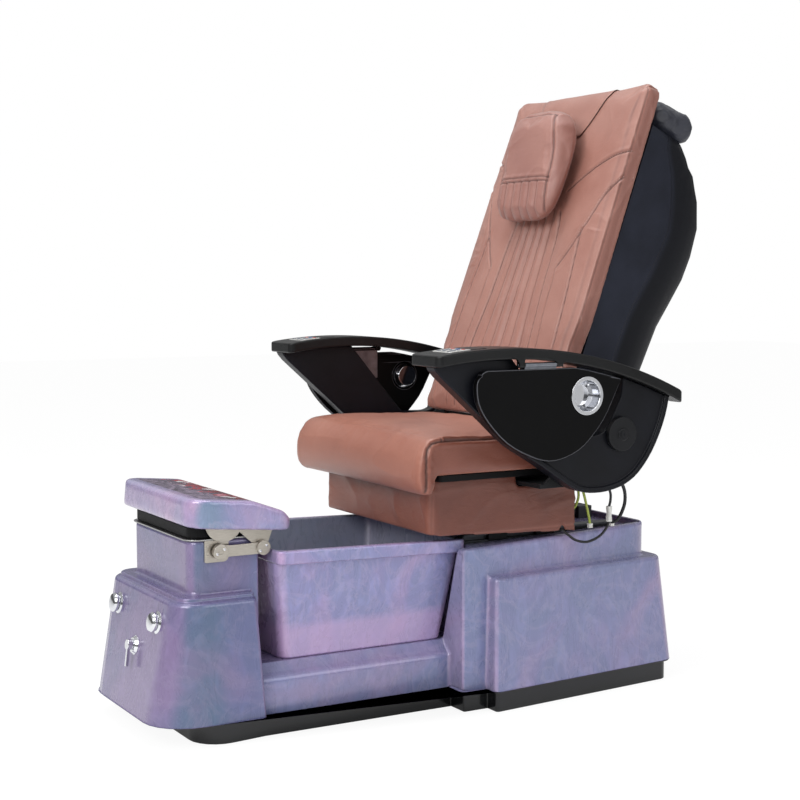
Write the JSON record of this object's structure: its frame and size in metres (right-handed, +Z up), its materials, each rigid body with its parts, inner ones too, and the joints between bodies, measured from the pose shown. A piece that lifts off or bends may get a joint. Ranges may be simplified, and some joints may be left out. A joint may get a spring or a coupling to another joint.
{
  "type": "pedicure spa chair",
  "caption": "Pedicure spa chair: pearl fibreglass base with a foot tub and lifting footrest, and a sliding, reclining leather seat with lift-up arms and flap trays.",
  "frame": {"origin": "middle of the footprint, front to back and side to side, on the floor", "axes": "+Z up, the sitter faces -Y, +X towards the sitter's left side"},
  "size_m": [0.812, 1.4116, 1.4094],
  "materials": {
    "pearl_fibreglass": "glossy marbled pearl, lilac to teal",
    "black_gloss_plastic": "high gloss",
    "black_matte_plastic": "satin",
    "brown_leather": "soft satin, sewn",
    "dark_shell_plastic": "gloss with a fine grain",
    "frame_steel": "black paint",
    "plain_steel": "brushed",
    "chrome": "mirror",
    "brass": "satin",
    "silver_plastic": "silver membrane",
    "white_plastic": "satin",
    "grey_case_plastic": "satin",
    "blue_plastic": "satin",
    "black_rubber": "matte"
  },
  "bodies": {
    "base": {"plinth": "black_gloss_plastic", "base_shell": "pearl_fibreglass", "base_frame": "frame_steel", "tub": "pearl_fibreglass", "drain_fitting": "chrome", "drain_pump": "blue_plastic", "drain_pipe": "white_plastic", "jet_motor": "black_matte_plastic", "jet_cover": "white_plastic", "valve_body": "brass", "valve_collars": "chrome", "fill_spout": "chrome", "pedestal_plate": "plain_steel", "rest_pad": "black_matte_plastic", "hinge_brackets": "plain_steel", "slide_rails": "plain_steel", "slide_motor": "frame_steel", "control_box": "grey_case_plastic"},
    "hot_knob": {"hot_knob": "chrome"},
    "cold_knob": {"cold_knob": "chrome"},
    "drain_lever": {"drain_lever": "chrome"},
    "drain_stopper": {"drain_stopper": "chrome"},
    "jet_impeller": {"jet_impeller": "blue_plastic"},
    "hinge_arms": {"hinge_arms": "plain_steel"},
    "footrest": {"footrest": "pearl_fibreglass", "footrest_plates": "plain_steel"},
    "seat": {"seat_frame": "frame_steel", "slide_blocks": "plain_steel", "slide_rod": "plain_steel", "seat_board": "black_matte_plastic", "seat_cushion": "brown_leather", "seat_skirt": "brown_leather", "arm_brackets": "frame_steel", "recline_motor": "frame_steel", "seat_cable": "black_rubber", "arm_cables": "black_rubber", "cable_plugs": "white_plastic", "left_pivot_bolt": "black_matte_plastic", "right_pivot_bolt": "black_matte_plastic"},
    "recline_rod": {"recline_rod": "plain_steel"},
    "back": {"back_frame": "frame_steel", "backrest_pad": "brown_leather", "back_shell": "dark_shell_plastic", "back_roll": "dark_shell_plastic", "head_pillow": "brown_leather", "pillow_flap": "brown_leather"},
    "massage_carriage": {"massage_carriage": "black_matte_plastic"},
    "massage_rollers": {"massage_rollers": "black_rubber"},
    "left_arm": {"left_arm_body": "black_gloss_plastic", "left_arm_rail": "black_gloss_plastic", "left_keypad": "silver_plastic"},
    "left_tray": {"left_tray": "black_gloss_plastic", "left_cup_holder": "chrome", "left_tray_hinge": "chrome"},
    "right_arm": {"right_arm_body": "black_gloss_plastic", "right_arm_rail": "black_gloss_plastic", "right_keypad": "silver_plastic"},
    "right_tray": {"right_tray": "black_gloss_plastic", "right_cup_holder": "chrome", "right_tray_hinge": "chrome"}
  },
  "joints": [
    {"name": "hot_knob_turn", "type": "hinge", "parent": "base", "child": "hot_knob", "pos_m": [-0.114, -0.6094, 0.25], "axis": [0, -0.9829, 0.1841], "range_deg": [0, 270]},
    {"name": "cold_knob_turn", "type": "hinge", "parent": "base", "child": "cold_knob", "pos_m": [0.114, -0.6094, 0.25], "axis": [0, -0.9829, 0.1841], "range_deg": [0, 270]},
    {"name": "drain_lever_turn", "type": "hinge", "parent": "base", "child": "drain_lever", "pos_m": [0.015, -0.6217, 0.184], "axis": [0, -0.9829, 0.1841], "range_deg": [0, 90]},
    {"name": "drain_stopper_lift", "type": "slide", "parent": "base", "child": "drain_stopper", "axis": [0, 0, 1], "range_m": [0, 0.012]},
    {"name": "jet_spin", "type": "hinge", "parent": "base", "child": "jet_impeller", "pos_m": [0, 0.058, 0.245], "axis": [0, 0.9916, -0.1293], "continuous": true},
    {"name": "footrest_lift", "type": "hinge", "parent": "base", "child": "hinge_arms", "pos_m": [0, -0.496, 0.398], "axis": [1, 0, 0], "range_deg": [0, 40]},
    {"name": "footrest_tilt", "type": "hinge", "parent": "hinge_arms", "child": "footrest", "pos_m": [0, -0.399, 0.399], "axis": [-1, 0, 0], "range_deg": [0, 56]},
    {"name": "seat_slide", "type": "slide", "parent": "base", "child": "seat", "axis": [0, 1, 0], "range_m": [-0.06, 0.14]},
    {"name": "backrest_recline", "type": "hinge", "parent": "seat", "child": "back", "pos_m": [0, 0.32, 0.571], "axis": [-1, 0, 0], "range_deg": [0, 28]},
    {"name": "recline_rod_travel", "type": "slide", "parent": "seat", "child": "recline_rod", "axis": [0, -1, 0], "range_m": [0, 0.0456]},
    {"name": "massage_travel", "type": "slide", "parent": "back", "child": "massage_carriage", "axis": [0, 0.3469, 0.9379], "range_m": [0, 0.38]},
    {"name": "massage_roll", "type": "hinge", "parent": "massage_carriage", "child": "massage_rollers", "pos_m": [0, 0.40942, 0.83167], "axis": [1, 0, 0], "continuous": true},
    {"name": "left_arm_lift", "type": "hinge", "parent": "seat", "child": "left_arm", "pos_m": [0.36, 0.38, 0.615], "axis": [-1, 0, 0], "range_deg": [0, 75]},
    {"name": "left_tray_flip", "type": "hinge", "parent": "left_arm", "child": "left_tray", "pos_m": [0.4, 0.141, 0.776], "axis": [0, -1, 0], "range_deg": [0, 90]},
    {"name": "right_arm_lift", "type": "hinge", "parent": "seat", "child": "right_arm", "pos_m": [-0.36, 0.38, 0.615], "axis": [-1, 0, 0], "range_deg": [0, 75]},
    {"name": "right_tray_flip", "type": "hinge", "parent": "right_arm", "child": "right_tray", "pos_m": [-0.4, 0.141, 0.776], "axis": [0, 1, 0], "range_deg": [0, 90]}
  ],
  "couplings": [
    {"joint": "drain_stopper_lift", "follows": "drain_lever_turn", "m_per_rad": 0.0076},
    {"joint": "footrest_tilt", "follows": "footrest_lift", "ratio": 1.4},
    {"joint": "recline_rod_travel", "follows": "backrest_recline", "m_per_rad": 0.0932}
  ]
}
